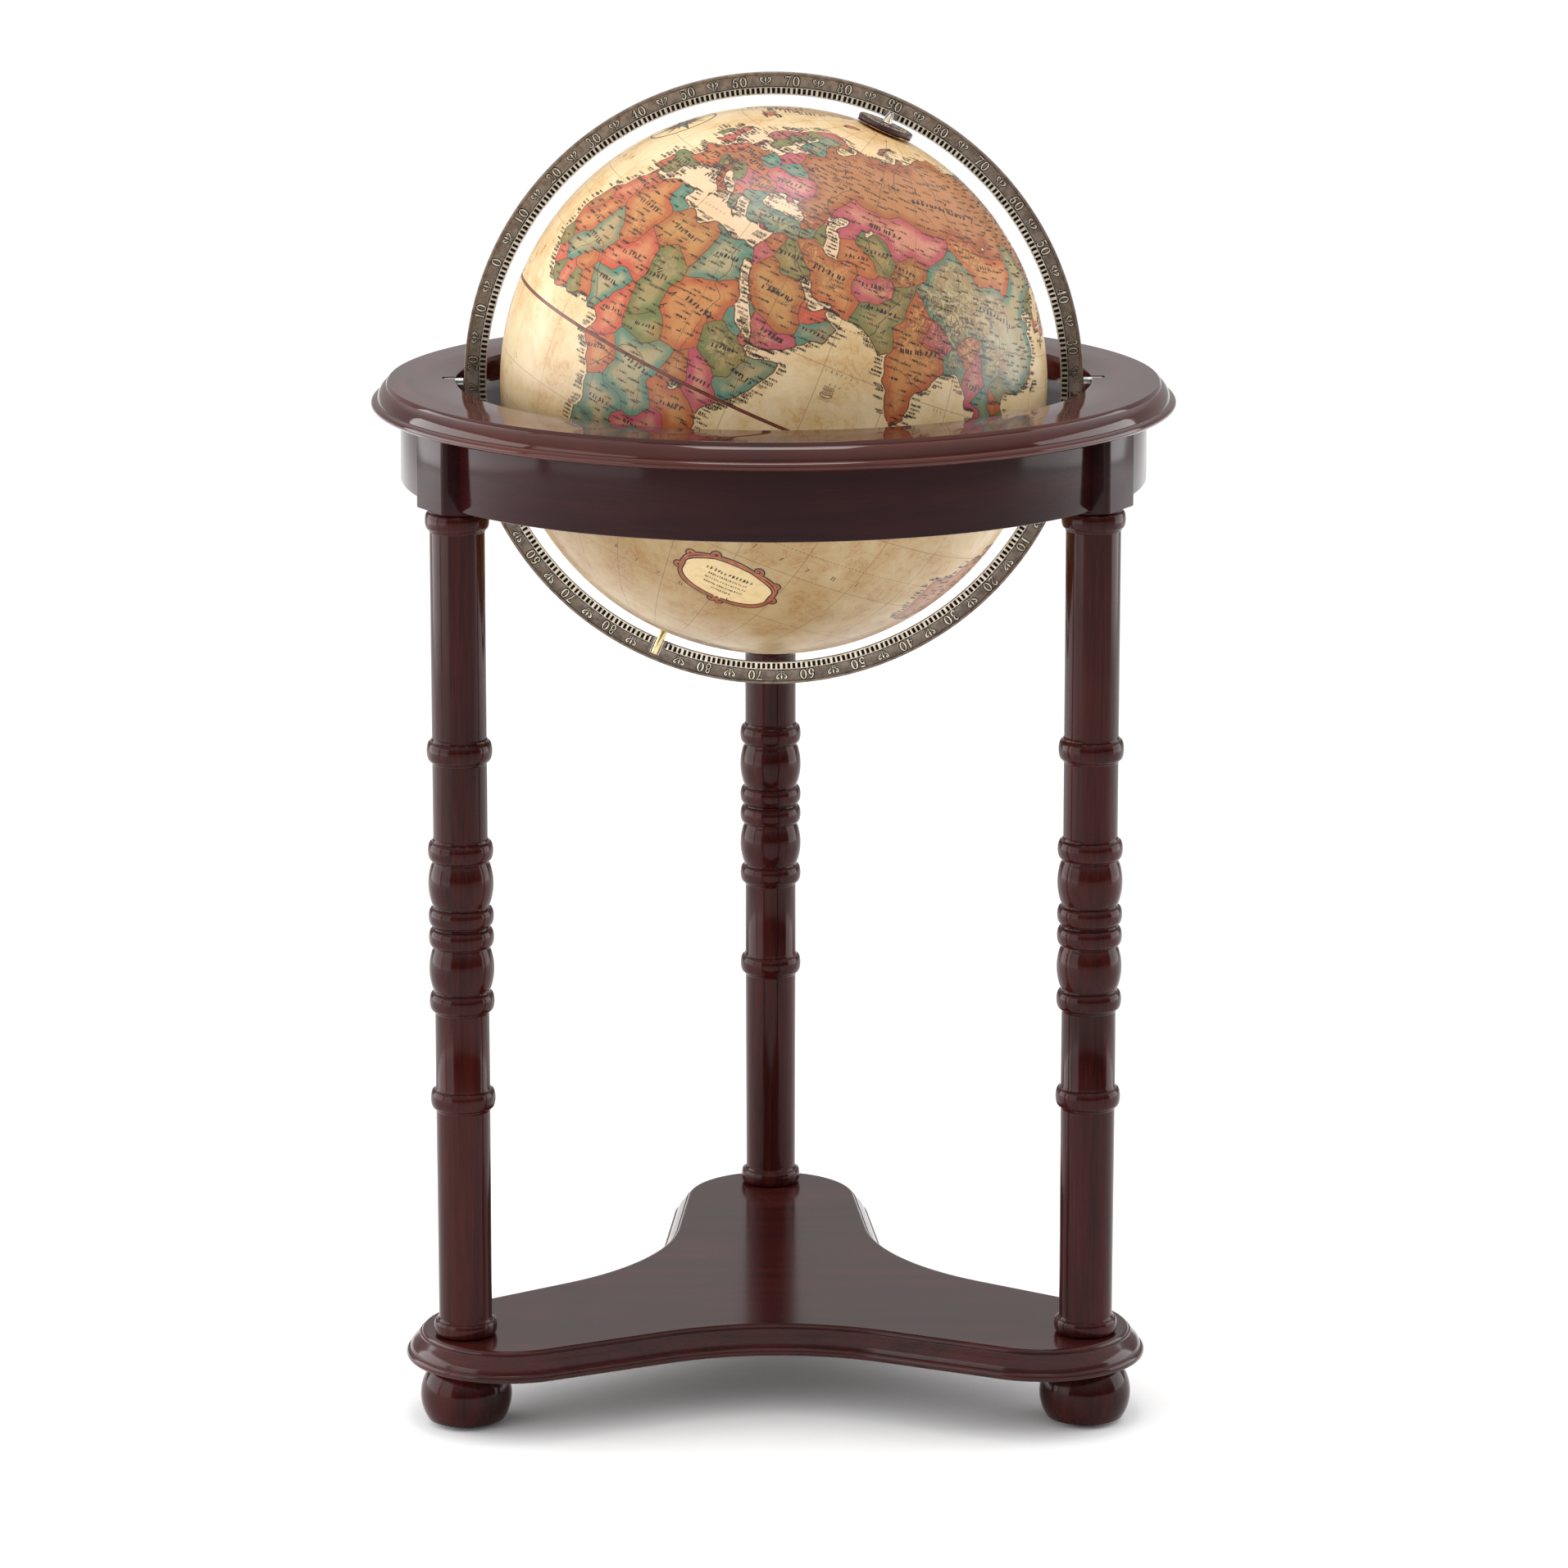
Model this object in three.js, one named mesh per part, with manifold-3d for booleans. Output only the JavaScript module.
// Floor-standing globe: a ball on a tilted axle in a full meridian ring, which swings on two pins in the
// slots of a wooden horizon ring, on an apron, three turned legs, a three-lobed base plate and bun feet.
// Millimetres, +Z up. The origin is on the floor, under the middle of the ball. The front faces -Y.

import * as THREE from 'three';
import { mergeVertices } from 'three/addons/utils/BufferGeometryUtils.js';
import Module from 'manifold-3d';

const wasm = await Module();
wasm.setup();

// ---- driving dimensions -------------------------------------------------------------------------------

const GAP = 0.3;                   // left between pieces that touch or are screwed together

const BALL_RADIUS = 152.4;         // a 12 inch globe
const BALL_CENTRE_Z = 573;
const SHELL_WALL = 2;
const AXIS_TILT = 23.5 * Math.PI / 180;
const POLE_HOLE_RADIUS = 5.3;

const MERIDIAN_INNER = 160;
const MERIDIAN_OUTER = 172.4;
const MERIDIAN_HALF_THICKNESS = 1.7;
const MERIDIAN_RIM = 1.4;          // radial width of the raised rim along the outer edge
const MERIDIAN_FACE_SINK = 0.4;    // how far the faces lie below that rim

const RING_INNER = 177;
const RING_TOP_OUTER = 214.6;
const RING_OUTER = 224.2;
const RING_TOP_Z = BALL_CENTRE_Z + 2;
const RING_THICKNESS = 15;
const RING_BOTTOM_Z = RING_TOP_Z - RING_THICKNESS;
// The ring's outer edge as [radius, depth below the top], going up: a bead, a cove and an ovolo.
const RING_EDGE = [
  [220.8, 15], [223.2, 13.8], [RING_OUTER, 12], [223.2, 10.4], [220.6, 8], [219.4, 5.2],
  [216.2, 2.2], [215.4, 0.8], [RING_TOP_OUTER, 0],
];

const LEG_CIRCLE = 200;
const LEG_AZIMUTHS = { front_left: 210, front_right: 330, back: 90 };
const BLOCK_WIDTH = 33;
const BLOCK_INNER = 184;
const BLOCK_OUTER = 217;
const BLOCK_EDGE_ROUND = 3;
const BLOCK_BOTTOM_Z = BALL_CENTRE_Z - 54;
const APRON_INNER = 196;
const APRON_OUTER = 208;
const APRON_BOTTOM_Z = BALL_CENTRE_Z - 53;
const LEG_SPLIT_Z = 285.5;

const FOOT_HEIGHT = 35;
const FOOT_RADIUS = 25.5;
const FOOT_WIDEST_Z = 16.5;
const FOOT_BOTTOM_Z = 2;           // the glide holds the foot this far off the floor
const FOOT_FLAT_RADIUS = 16.5;
const GLIDE_RADIUS = 15;
const GLIDE_NAIL_RADIUS = 1.2;
const GLIDE_NAIL_TOP = 10;
const BASE_THICKNESS = 16;
const BASE_TOP_Z = FOOT_HEIGHT + BASE_THICKNESS;
const LOBE_REACH = 171.5;          // centre of each lobe's round end, from the middle
const LOBE_RADIUS = 48;            // at the top face; the moulding stands out further
const WAIST_RADIUS = 150;          // of the hollow edge between two lobes, at the top face
const WAIST_REACH = 84.6 + WAIST_RADIUS;
// The base plate's edge as [stands out, height above its underside], going up: a band, a cove and a round.
const BASE_EDGE = [
  [9.5, 0], [10.5, 1.2], [10.5, 4.2], [9, 5.2], [6.9, 8.5], [3.2, 12.4], [1.1, 14.4], [0, BASE_THICKNESS],
];

const BOLT_RADIUS = 4;
const BOLT_HOLE_RADIUS = 4.4;
const BOLT_DEPTH = 28;             // how far a bolt goes into a leg's end
const FOOT_BOLT_DEPTH = 21;
const RING_BOLT_DEPTH = 9;
const DOWEL_RADIUS = 4;
const DOWEL_DEPTH = 10;
const DOWEL_CIRCLE = (APRON_INNER + APRON_OUTER) / 2;
const DOWEL_Z = 540;
const SCREW_RADIUS = 1.8;
const SCREW_HEAD_RADIUS = 3.6;
const SCREW_HEAD_Z = 538;          // underside of the head, deep in the panel's counterbore
const SCREW_HEAD_HEIGHT = 2.6;
const SCREW_DEPTH = 8.5;           // how far a screw goes into the horizon ring
const SCREW_HOLE_DEPTH = 9;

const ROD_RADIUS = 1.6;
const ROD_HOLE_RADIUS = 1.95;
const SLEEVE_RADIUS = 2.4;
const SLEEVE_END = 169;
const DIAL_RADIUS = 15.9;
const DIAL_THICKNESS = 3;
const CONE_RADIUS = 3;
const CONE_HEIGHT = 6.6;
const PIN_RADIUS = 1.8;
const PIN_END = 183.6;
const PIN_TANG_RADIUS = 0.9;       // the thin end of a pin, let into the meridian's edge
const PIN_TANG_END = 168.2;
const SLOT_END = 184.6;
const SLOT_HALF_WIDTH = 3.1;
const SLOT_DEPTH = 5.1;

const LEG_SIDES = 20;
const SMALL_SIDES = 12;
const BALL_SIDES = 36;
const RING_SIDES = 72;
const MERIDIAN_SIDES = 90;

// ---- materials ----------------------------------------------------------------------------------------

const FINISHES = {
  wood: { color: 0x3c1814, roughness: 0.22, metalness: 0 },
  globe_paper: { color: 0xd9c08a, roughness: 0.5, metalness: 0 },
  antique_brass: { color: 0x7d7160, roughness: 0.45, metalness: 0.9 },
  polished_brass: { color: 0xc8a868, roughness: 0.25, metalness: 1 },
  dial: { color: 0x3a2229, roughness: 0.4, metalness: 0 },
  black_liner: { color: 0x17120f, roughness: 0.6, metalness: 0 },
  steel: { color: 0x9a9a98, roughness: 0.4, metalness: 1 },
  board: { color: 0xb09870, roughness: 0.9, metalness: 0 },
};

function mesh(name, geometry, finish) {
  const made = new THREE.Mesh(geometry, new THREE.MeshStandardMaterial(FINISHES[finish]));
  made.name = name;
  return made;
}

// ---- geometry helpers ---------------------------------------------------------------------------------

const DEGREE = Math.PI / 180;

function polar(radius, angle) {
  return new THREE.Vector2(radius * Math.cos(angle), radius * Math.sin(angle));
}

// A turned piece about Z. The profile is a list of [radius, z], going up its outside.
function turned(profile, sides) {
  const points = profile.map(([radius, z]) => new THREE.Vector2(radius, z));
  return new THREE.LatheGeometry(points, sides).rotateX(Math.PI / 2);
}

// A turned ring, whose profile closes on itself.
function turnedRing(profile, sides) {
  return turned([...profile, profile[0]], sides);
}

function cylinder(radius, bottom, top, sides = SMALL_SIDES) {
  return turned([[0, bottom], [radius, bottom], [radius, top], [0, top]], sides);
}

function tube(inner, outer, bottom, top, sides = SMALL_SIDES) {
  return turnedRing([[inner, bottom], [outer, bottom], [outer, top], [inner, top]], sides);
}

// A half-round moulding between two heights: it swells from one radius to another and back.
function bead(low, high, from, widest, steps = 4) {
  const middle = (low + high) / 2;
  return Array.from({ length: steps + 1 }, (_, i) => {
    const turn = Math.PI * i / steps;
    return [from + (widest - from) * Math.sin(turn), middle - (high - middle) * Math.cos(turn)];
  });
}

function arc(centre, radius, start, end, steps) {
  return Array.from({ length: steps + 1 }, (_, i) =>
    polar(radius, start + (end - start) * i / steps).add(centre));
}

function prism(outline, bottom, top) {
  const shape = new THREE.Shape(outline);
  const solid = new THREE.ExtrudeGeometry(shape, { depth: top - bottom, bevelEnabled: false });
  return solid.translate(0, 0, bottom);
}

function toSolid(geometry) {
  const bare = geometry.clone();
  bare.deleteAttribute('normal');
  bare.deleteAttribute('uv');
  const merged = mergeVertices(bare, 1e-4);
  return new wasm.Manifold(new wasm.Mesh({
    numProp: 3,
    vertProperties: new Float32Array(merged.attributes.position.array),
    triVerts: new Uint32Array(merged.index.array),
  }));
}

function cut(geometry, ...tools) {
  let solid = toSolid(geometry);
  for (const tool of tools) {
    solid = solid.subtract(toSolid(tool));
  }
  const result = solid.getMesh();
  const made = new THREE.BufferGeometry();
  made.setAttribute('position', new THREE.BufferAttribute(result.vertProperties, 3));
  made.setIndex(new THREE.BufferAttribute(result.triVerts, 1));
  return made;
}

// A plate whose outline grows and shrinks with height: the levels are [offset, z], going up.
function mouldedPlate(levels, outlineAt) {
  const outlines = levels.map(([offset]) => outlineAt(offset));
  const count = outlines[0].length;
  const positions = outlines.flatMap((outline, level) =>
    outline.flatMap((p) => [p.x, p.y, levels[level][1]]));
  const index = [];
  for (let level = 0; level + 1 < levels.length; level += 1) {
    for (let i = 0; i < count; i += 1) {
      const a = level * count + i;
      const b = level * count + (i + 1) % count;
      index.push(a, b, b + count, a, b + count, a + count);
    }
  }
  const last = (levels.length - 1) * count;
  for (const [a, b, c] of THREE.ShapeUtils.triangulateShape(outlines[0], [])) {
    index.push(a, c, b, last + a, last + b, last + c);
  }
  const made = new THREE.BufferGeometry();
  made.setAttribute('position', new THREE.Float32BufferAttribute(positions, 3));
  made.setIndex(index);
  return made;
}

// ---- base plate and feet ------------------------------------------------------------------------------

// Round lobes at the three legs, joined by wide hollow curves; straight sides run tangent to both.
function baseOutline(offset) {
  const lobeRadius = LOBE_RADIUS + offset;
  const waistRadius = WAIST_RADIUS - offset;
  const between = polar(WAIST_REACH, 60 * DEGREE).sub(polar(LOBE_REACH, 0));
  const side = between.angle() - Math.acos((lobeRadius + waistRadius) / between.length());
  return Object.values(LEG_AZIMUTHS).map((degrees) => degrees * DEGREE).sort().flatMap((leg) => {
    const hollow = leg + 60 * DEGREE;
    const facing = hollow + Math.PI;
    const sweep = leg + side + Math.PI - facing;
    return [
      ...arc(polar(LOBE_REACH, leg), lobeRadius, leg - side, leg + side, 8),
      ...arc(polar(WAIST_REACH, hollow), waistRadius, facing + sweep, facing - sweep, 6),
    ];
  });
}

function basePlate() {
  const levels = BASE_EDGE.map(([offset, height]) => [offset, FOOT_HEIGHT + height]);
  const holes = Object.values(LEG_AZIMUTHS).map((degrees) => {
    const at = polar(LEG_CIRCLE, degrees * DEGREE);
    return cylinder(BOLT_HOLE_RADIUS, FOOT_HEIGHT - 1, BASE_TOP_Z + 1).translate(at.x, at.y, 0);
  });
  return mesh('base_plate', cut(mouldedPlate(levels, baseOutline), ...holes), 'wood');
}

function bunFoot() {
  const top = FOOT_HEIGHT - GAP;
  const low = FOOT_BOTTOM_Z + 2.5;
  const steps = 8;
  const rounded = Array.from({ length: steps + 1 }, (_, i) => {
    const z = low + (top - low) * i / steps;
    return [Math.sqrt(FOOT_RADIUS ** 2 - (z - FOOT_WIDEST_Z) ** 2), z];
  });
  const nailHole = GLIDE_NAIL_RADIUS + GAP;
  const nailHoleTop = GLIDE_NAIL_TOP + GAP;
  return turned([
    [0, nailHoleTop], [nailHole, nailHoleTop], [nailHole, FOOT_BOTTOM_Z], [FOOT_FLAT_RADIUS, FOOT_BOTTOM_Z],
    ...rounded,
    [BOLT_HOLE_RADIUS, top], [BOLT_HOLE_RADIUS, top - FOOT_BOLT_DEPTH], [0, top - FOOT_BOLT_DEPTH],
  ], LEG_SIDES);
}

function footGlide() {
  const plate = FOOT_BOTTOM_Z - GAP;
  return turned([
    [0, 0], [GLIDE_RADIUS - 1, 0], [GLIDE_RADIUS, plate], [GLIDE_NAIL_RADIUS, plate],
    [GLIDE_NAIL_RADIUS, GLIDE_NAIL_TOP - 0.5], [0, GLIDE_NAIL_TOP],
  ], LEG_SIDES);
}

// ---- legs ---------------------------------------------------------------------------------------------

const SHAFT = 15.1;
const SHAFT_LOW_END = 14.8;
const LEG_BEAD = 18.1;
const LEG_COLLAR = 17.6;
const LEG_NECK = 15.6;             // the groove between two mouldings that touch
const BARREL_NECK = 15.4;

function lowerLeg() {
  const bottom = BASE_TOP_Z + GAP;
  const top = LEG_SPLIT_Z - GAP / 2;
  return turned([
    [0, bottom + BOLT_DEPTH], [BOLT_HOLE_RADIUS, bottom + BOLT_DEPTH], [BOLT_HOLE_RADIUS, bottom],
    ...bead(bottom, 60.5, LEG_NECK, LEG_COLLAR), [SHAFT_LOW_END, 60.6],
    ...bead(181.8, 193.4, SHAFT, LEG_BEAD), ...bead(237.4, 248.9, SHAFT, LEG_BEAD),
    ...bead(249.1, 274, BARREL_NECK, LEG_BEAD, 6), ...bead(274.2, 284.9, LEG_NECK, LEG_BEAD),
    [LEG_NECK, top],
    [BOLT_HOLE_RADIUS, top], [BOLT_HOLE_RADIUS, top - BOLT_DEPTH], [0, top - BOLT_DEPTH],
  ], LEG_SIDES);
}

function upperLeg() {
  const bottom = LEG_SPLIT_Z + GAP / 2;
  const top = BLOCK_BOTTOM_Z - GAP;
  return turned([
    [0, bottom + BOLT_DEPTH], [BOLT_HOLE_RADIUS, bottom + BOLT_DEPTH], [BOLT_HOLE_RADIUS, bottom],
    [LEG_NECK, bottom], ...bead(286.1, 296.8, LEG_NECK, LEG_BEAD),
    ...bead(297, 322.4, BARREL_NECK, LEG_BEAD, 6), ...bead(322.6, 334.3, SHAFT, LEG_BEAD),
    ...bead(378.5, 390.7, SHAFT, LEG_BEAD),
    [SHAFT, top - 10.7], [LEG_COLLAR - 0.4, top - 8.3], [LEG_COLLAR, top - 5.3], [LEG_COLLAR - 0.4, top],
    [BOLT_HOLE_RADIUS, top], [BOLT_HOLE_RADIUS, top - BOLT_DEPTH], [0, top - BOLT_DEPTH],
  ], LEG_SIDES);
}

// Everything that stands on one leg's axis, from the glide to the bolt's end in the horizon ring.
function legStack(place) {
  const stack = new THREE.Group();
  const at = polar(LEG_CIRCLE, LEG_AZIMUTHS[place] * DEGREE);
  stack.position.set(at.x, at.y, 0);
  stack.rotation.z = LEG_AZIMUTHS[place] * DEGREE;
  const footBolt = cylinder(BOLT_RADIUS, FOOT_HEIGHT - FOOT_BOLT_DEPTH + 1, BASE_TOP_Z + BOLT_DEPTH - 1);
  const stud = cylinder(BOLT_RADIUS, LEG_SPLIT_Z - BOLT_DEPTH + 1, LEG_SPLIT_Z + BOLT_DEPTH - 1);
  const ringBoltTop = RING_BOTTOM_Z + RING_BOLT_DEPTH - 1;
  const ringBolt = cylinder(BOLT_RADIUS, BLOCK_BOTTOM_Z - BOLT_DEPTH + 1, ringBoltTop);
  stack.add(
    mesh(`foot_glide_${place}`, footGlide(), 'black_liner'),
    mesh(`bun_foot_${place}`, bunFoot(), 'wood'),
    mesh(`foot_bolt_${place}`, footBolt, 'steel'),
    mesh(`lower_leg_${place}`, lowerLeg(), 'wood'),
    mesh(`leg_stud_${place}`, stud, 'steel'),
    mesh(`upper_leg_${place}`, upperLeg(), 'wood'),
    mesh(`ring_bolt_${place}`, ringBolt, 'steel'),
  );
  return stack;
}

// ---- apron --------------------------------------------------------------------------------------------

// A cylinder lying along the tangent beside a leg: side is +1 or -1 from the leg's own radius.
function besideLeg(radius, from, to, side) {
  return cylinder(radius, from, to).rotateX(-side * Math.PI / 2).translate(DOWEL_CIRCLE, 0, DOWEL_Z);
}

function cornerBlock() {
  const half = BLOCK_WIDTH / 2;
  const inset = half - BLOCK_EDGE_ROUND;
  const shoulder = BLOCK_OUTER - BLOCK_EDGE_ROUND;
  const outline = [
    new THREE.Vector2(BLOCK_INNER, -half),
    ...arc(new THREE.Vector2(shoulder, -inset), BLOCK_EDGE_ROUND, -Math.PI / 2, 0, 4),
    ...arc(new THREE.Vector2(shoulder, inset), BLOCK_EDGE_ROUND, 0, Math.PI / 2, 4),
    new THREE.Vector2(BLOCK_INNER, half),
  ];
  const boltHole = cylinder(BOLT_HOLE_RADIUS, BLOCK_BOTTOM_Z - 1, RING_BOTTOM_Z + 1)
    .translate(LEG_CIRCLE, 0, 0);
  const dowelHoles = [1, -1].map((side) =>
    besideLeg(DOWEL_RADIUS + GAP, half - DOWEL_DEPTH, half + 1, side));
  return cut(prism(outline, BLOCK_BOTTOM_Z, RING_BOTTOM_Z - GAP), boltHole, ...dowelHoles);
}

function dowel(side) {
  const half = BLOCK_WIDTH / 2;
  return besideLeg(DOWEL_RADIUS, half - DOWEL_DEPTH + GAP, half + DOWEL_DEPTH, side);
}

// The panel between the leg at azimuth 0 and the next one, 120 degrees on.
function apronPanel() {
  const reach = BLOCK_WIDTH / 2 + GAP;
  const next = 120 * DEGREE;
  const outerStart = Math.asin(reach / APRON_OUTER);
  const innerStart = Math.asin(reach / APRON_INNER);
  const middle = new THREE.Vector2();
  const outline = [
    ...arc(middle, APRON_OUTER, outerStart, next - outerStart, 16),
    ...arc(middle, APRON_INNER, next - innerStart, innerStart, 16),
  ];
  const end = BLOCK_WIDTH / 2 + DOWEL_DEPTH + GAP;
  const dowelHoles = [
    besideLeg(DOWEL_RADIUS + GAP, reach - 1, end, 1),
    besideLeg(DOWEL_RADIUS + GAP, reach - 1, end, -1).rotateZ(next),
  ];
  const screwAt = polar(DOWEL_CIRCLE, next / 2);
  const screwHole = cylinder(SCREW_RADIUS + GAP, SCREW_HEAD_Z - 1, RING_BOTTOM_Z + 1);
  const counterbore = cylinder(SCREW_HEAD_RADIUS + GAP, APRON_BOTTOM_Z - 1, SCREW_HEAD_Z);
  const bores = [screwHole, counterbore].map((bore) => bore.translate(screwAt.x, screwAt.y, 0));
  return cut(prism(outline, APRON_BOTTOM_Z, RING_BOTTOM_Z - GAP), ...dowelHoles, ...bores);
}

function apronScrew() {
  const at = polar(DOWEL_CIRCLE, 60 * DEGREE);
  const headTop = SCREW_HEAD_Z - GAP;
  return turned([
    [0, headTop - SCREW_HEAD_HEIGHT], [SCREW_HEAD_RADIUS, headTop - SCREW_HEAD_HEIGHT],
    [SCREW_HEAD_RADIUS, headTop], [SCREW_RADIUS, headTop],
    [SCREW_RADIUS, RING_BOTTOM_Z + SCREW_DEPTH - 1.5], [0, RING_BOTTOM_Z + SCREW_DEPTH],
  ], SMALL_SIDES).translate(at.x, at.y, 0);
}

// One corner block with its two dowels, and the panel and screw that follow it round to the next leg.
function apronSector(place, panelName) {
  const sector = new THREE.Group();
  sector.rotation.z = LEG_AZIMUTHS[place] * DEGREE;
  sector.add(
    mesh(`corner_block_${place}`, cornerBlock(), 'wood'),
    mesh(`dowel_${place}_1`, dowel(1), 'board'),
    mesh(`dowel_${place}_2`, dowel(-1), 'board'),
    mesh(`apron_panel_${panelName}`, apronPanel(), 'wood'),
    mesh(`apron_screw_${panelName}`, apronScrew(), 'steel'),
  );
  return sector;
}

// ---- horizon ring -------------------------------------------------------------------------------------

function horizonRing() {
  const edge = RING_EDGE.map(([radius, depth]) => [radius, RING_TOP_Z - depth]);
  const profile = [[RING_INNER, RING_BOTTOM_Z], ...edge, [RING_INNER, RING_TOP_Z]];
  const slots = [1, -1].map((side) => {
    const length = SLOT_END - RING_INNER + 4;
    const height = 2 * SLOT_DEPTH;
    const slot = new THREE.BoxGeometry(length, 2 * SLOT_HALF_WIDTH, height);
    return slot.translate(side * (SLOT_END - length / 2), 0, RING_TOP_Z);
  });
  const boltHoles = Object.values(LEG_AZIMUTHS).flatMap((degrees) => {
    const bolt = polar(LEG_CIRCLE, degrees * DEGREE);
    const screw = polar(DOWEL_CIRCLE, (degrees + 60) * DEGREE);
    const below = RING_BOTTOM_Z - 1;
    return [
      cylinder(BOLT_HOLE_RADIUS, below, RING_BOTTOM_Z + RING_BOLT_DEPTH).translate(bolt.x, bolt.y, 0),
      cylinder(SCREW_RADIUS + GAP, below, RING_BOTTOM_Z + SCREW_HOLE_DEPTH)
        .translate(screw.x, screw.y, 0),
    ];
  });
  return mesh('horizon_ring', cut(turnedRing(profile, RING_SIDES), ...slots, ...boltHoles), 'wood');
}

// A small trough lining each slot, open at the top, which the pivot pin lies in.
function pivotLiner(side) {
  const half = SLOT_HALF_WIDTH - GAP;
  const wall = 0.7;
  const bottom = RING_TOP_Z - SLOT_DEPTH + GAP;
  const rim = RING_TOP_Z - 0.2;
  const outline = [
    [-half, bottom], [half, bottom], [half, rim], [half - wall, rim],
    [half - wall, bottom + wall], [-half + wall, bottom + wall], [-half + wall, rim], [-half, rim],
  ].map(([x, y]) => new THREE.Vector2(x, y));
  const start = RING_INNER + GAP;
  const along = prism(outline, start, SLOT_END - GAP);
  return along.rotateX(Math.PI / 2).rotateZ(side > 0 ? Math.PI / 2 : -Math.PI / 2);
}

// ---- meridian ring and axle ---------------------------------------------------------------------------

// Heights along the tilted axle, from the ball's centre: what is stacked outside each pole.
const EYELET_FACE = BALL_RADIUS + 0.2;
const PLATE_BOTTOM = EYELET_FACE + GAP;
const PLATE_TOP = PLATE_BOTTOM + 0.7;
const DIAL_BOTTOM = PLATE_TOP + GAP;
const DIAL_TOP = DIAL_BOTTOM + DIAL_THICKNESS;
const CONE_BOTTOM = DIAL_TOP + GAP;
const WASHER_TOP = -(EYELET_FACE + GAP);
const SLEEVE_TOP = WASHER_TOP - 1;
const CONE_TIP = CONE_BOTTOM + CONE_HEIGHT;

// The ring lies in the X-Z plane about the ball's centre. The tilt only turns the two pole notches.
function meridianRing() {
  const face = MERIDIAN_HALF_THICKNESS - MERIDIAN_FACE_SINK;
  const rimInner = MERIDIAN_OUTER - MERIDIAN_RIM;
  const half = MERIDIAN_HALF_THICKNESS;
  const profile = [
    [MERIDIAN_INNER, -face], [rimInner, -face], [rimInner, -half], [MERIDIAN_OUTER, -half],
    [MERIDIAN_OUTER, half], [rimInner, half], [rimInner, face], [MERIDIAN_INNER, face],
  ];
  const ring = turnedRing(profile, MERIDIAN_SIDES).rotateX(Math.PI / 2);
  const mouth = CONE_RADIUS + 2 * GAP;
  const notchTop = CONE_TIP + GAP;
  const notch = [[-mouth, CONE_BOTTOM], [mouth, CONE_BOTTOM], [0.8, notchTop], [-0.8, notchTop]];
  const slotHalf = SLEEVE_RADIUS + GAP;
  const slotEnd = -(SLEEVE_END + 0.4);
  const slotMouth = 4 - MERIDIAN_INNER;
  const slot = [[-slotHalf, slotEnd], [slotHalf, slotEnd], [slotHalf, slotMouth], [-slotHalf, slotMouth]];
  const poleCuts = [notch, slot].map((corners) => {
    const outline = corners.map(([x, z]) => new THREE.Vector2(x, z));
    return prism(outline, -4, 4).rotateX(Math.PI / 2).rotateY(AXIS_TILT);
  });
  const pinHoles = [1, -1].map((side) =>
    cylinder(PIN_TANG_RADIUS + GAP, PIN_TANG_END - GAP, MERIDIAN_OUTER + 2).rotateY(side * Math.PI / 2));
  return cut(ring, ...poleCuts, ...pinHoles);
}

function pivotPin(side) {
  return turned([
    [0, PIN_TANG_END], [PIN_TANG_RADIUS, PIN_TANG_END], [PIN_TANG_RADIUS, MERIDIAN_OUTER + GAP],
    [PIN_RADIUS, MERIDIAN_OUTER + GAP],
    [PIN_RADIUS, PIN_END - 0.6], [PIN_RADIUS - 0.6, PIN_END], [0, PIN_END],
  ], SMALL_SIDES).rotateY(side * Math.PI / 2);
}

function northCone() {
  const boreTop = CONE_BOTTOM + 1.6;
  return turned([
    [0, boreTop], [ROD_HOLE_RADIUS, boreTop], [ROD_HOLE_RADIUS, CONE_BOTTOM], [CONE_RADIUS, CONE_BOTTOM],
    [0.4, CONE_TIP], [0, CONE_TIP],
  ], SMALL_SIDES);
}

// ---- ball and time dial -------------------------------------------------------------------------------

// Half of the ball's shell, above the equator, with a round hole at the pole.
function hemisphere() {
  const steps = 8;
  const curve = (radius) => {
    const start = Math.asin(GAP / 2 / radius);
    const end = Math.acos(POLE_HOLE_RADIUS / radius);
    return arc(new THREE.Vector2(), radius, start, end, steps).map((p) => [p.x, p.y]);
  };
  const inside = curve(BALL_RADIUS - SHELL_WALL).reverse();
  return turnedRing([...curve(BALL_RADIUS), ...inside], BALL_SIDES);
}

function seamBand() {
  const outer = BALL_RADIUS - SHELL_WALL - 1.2;
  return tube(outer - 1.6, outer, -8, 8, BALL_SIDES);
}

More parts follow.
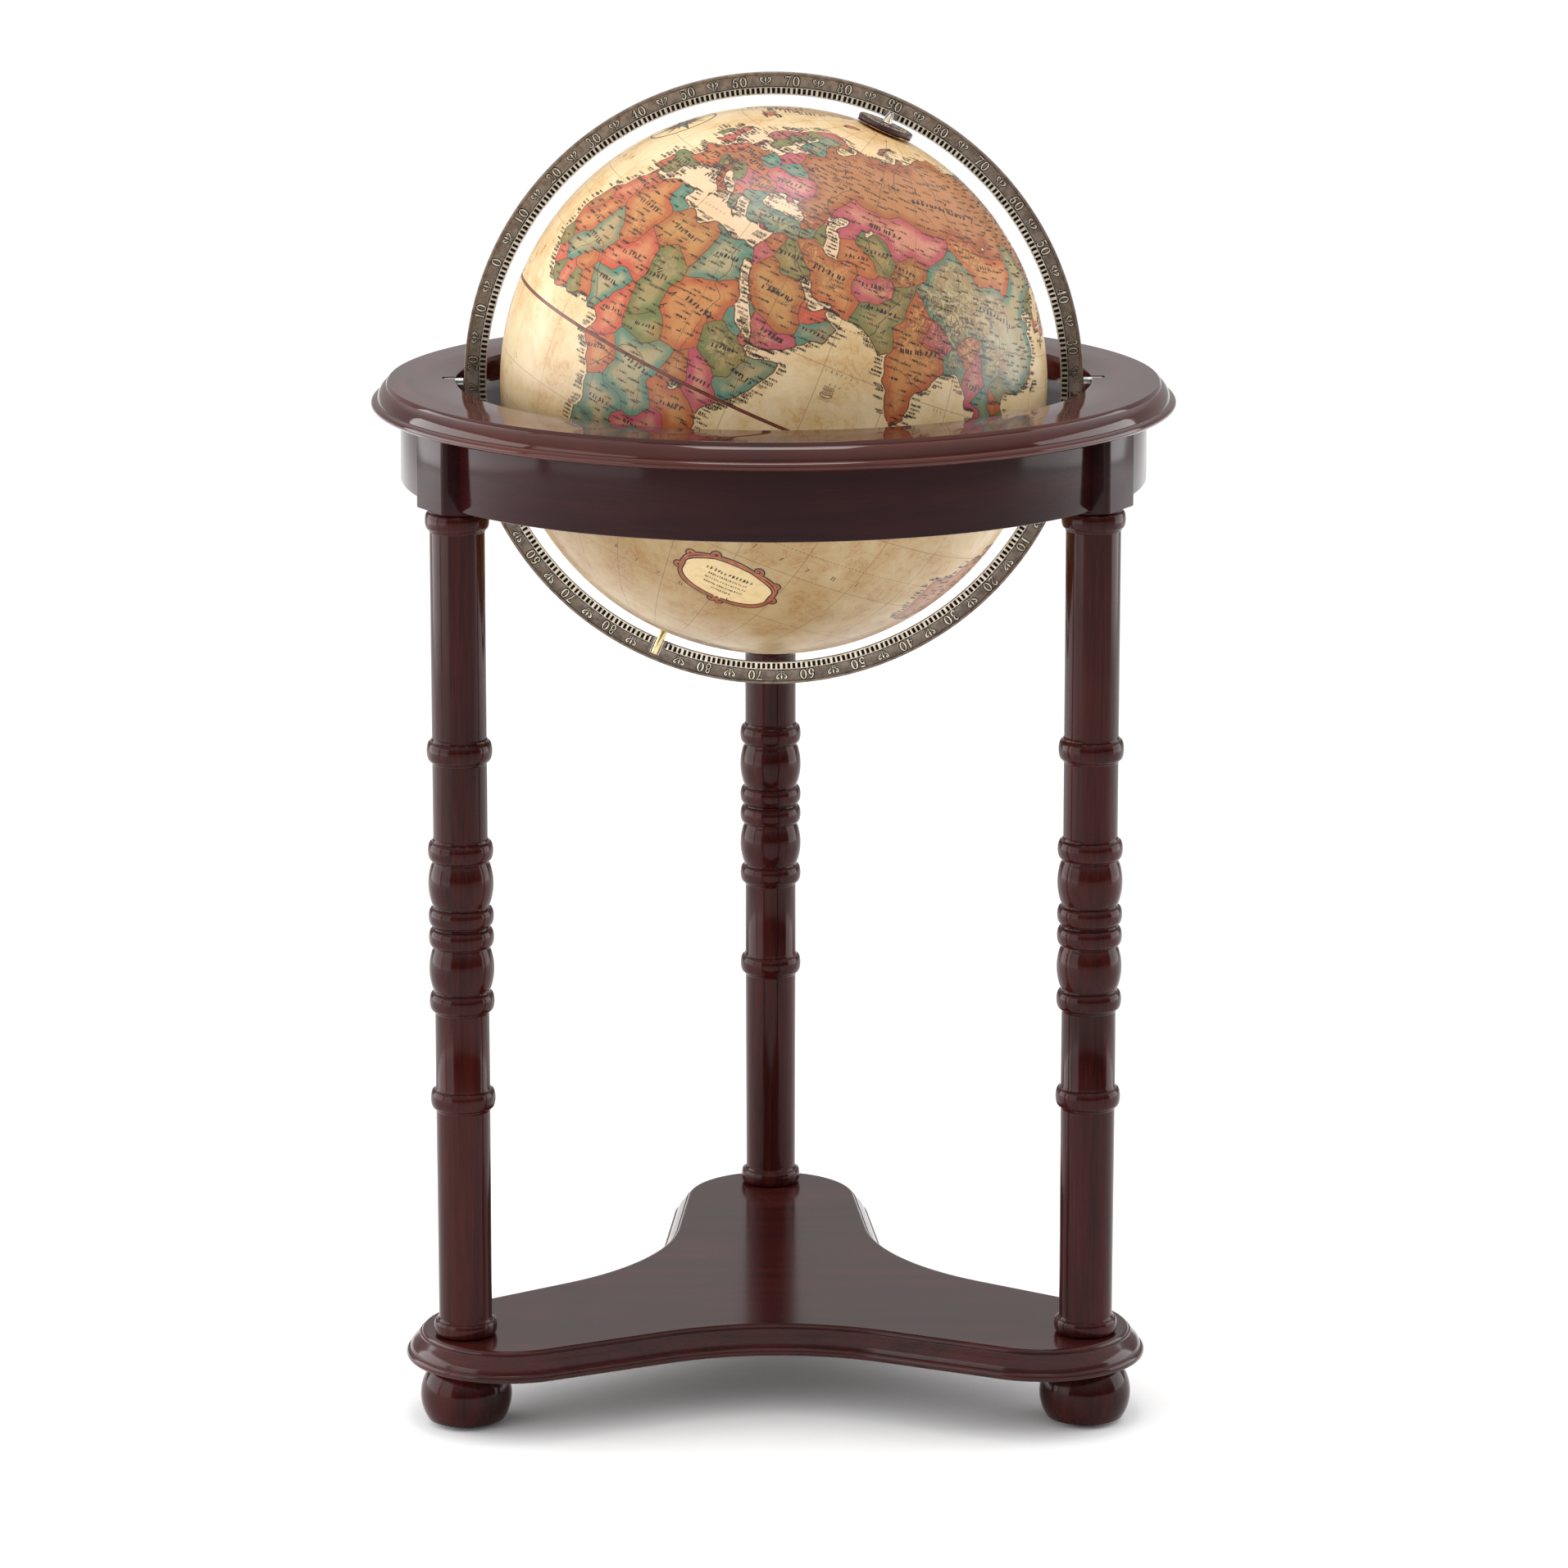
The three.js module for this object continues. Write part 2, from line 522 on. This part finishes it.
function poleEyelet() {
  const flangeTop = BALL_RADIUS - SHELL_WALL - 0.7;
  return turnedRing([
    [ROD_HOLE_RADIUS, flangeTop - 1.2], [8, flangeTop - 1.2], [8, flangeTop],
    [POLE_HOLE_RADIUS - 0.4, flangeTop], [POLE_HOLE_RADIUS - 0.4, EYELET_FACE],
    [ROD_HOLE_RADIUS, EYELET_FACE],
  ], SMALL_SIDES);
}

function discOnRod(outer, bottom, top, sides) {
  return tube(ROD_HOLE_RADIUS, outer, bottom, top, sides);
}

// ---- assembly -----------------------------------------------------------------------------------------

const globe = new THREE.Group();
const PANEL_AFTER = { front_left: 'front', front_right: 'right', back: 'left' };

globe.add(basePlate());
for (const place of Object.keys(LEG_AZIMUTHS)) {
  globe.add(legStack(place), apronSector(place, PANEL_AFTER[place]));
}
globe.add(horizonRing());
globe.add(mesh('pivot_liner_left', pivotLiner(-1), 'black_liner'));
globe.add(mesh('pivot_liner_right', pivotLiner(1), 'black_liner'));

const swinging = new THREE.Group();
swinging.position.z = BALL_CENTRE_Z;
swinging.add(
  mesh('meridian_ring', meridianRing(), 'antique_brass'),
  mesh('pivot_pin_left', pivotPin(-1), 'steel'),
  mesh('pivot_pin_right', pivotPin(1), 'steel'),
);
globe.add(swinging);

const tilted = new THREE.Group();
tilted.rotation.y = AXIS_TILT;
tilted.add(
  mesh('axle_rod', cylinder(ROD_RADIUS, -(SLEEVE_END - 0.6), CONE_BOTTOM + 1.3), 'steel'),
  mesh('south_sleeve', discOnRod(SLEEVE_RADIUS, -SLEEVE_END, SLEEVE_TOP, SMALL_SIDES), 'polished_brass'),
  mesh('south_washer', discOnRod(3.4, SLEEVE_TOP + GAP, WASHER_TOP, SMALL_SIDES), 'polished_brass'),
  mesh('north_cone', northCone(), 'polished_brass'),
  mesh('north_hemisphere', hemisphere(), 'globe_paper'),
  mesh('south_hemisphere', hemisphere().rotateX(Math.PI), 'globe_paper'),
  mesh('seam_band', seamBand(), 'board'),
  mesh('north_eyelet', poleEyelet(), 'polished_brass'),
  mesh('south_eyelet', poleEyelet().rotateX(Math.PI), 'polished_brass'),
  mesh('dial_plate', discOnRod(DIAL_RADIUS, PLATE_BOTTOM, PLATE_TOP, 24), 'polished_brass'),
  mesh('time_dial', discOnRod(DIAL_RADIUS, DIAL_BOTTOM, DIAL_TOP, 24), 'dial'),
);
swinging.add(tilted);

export default globe;
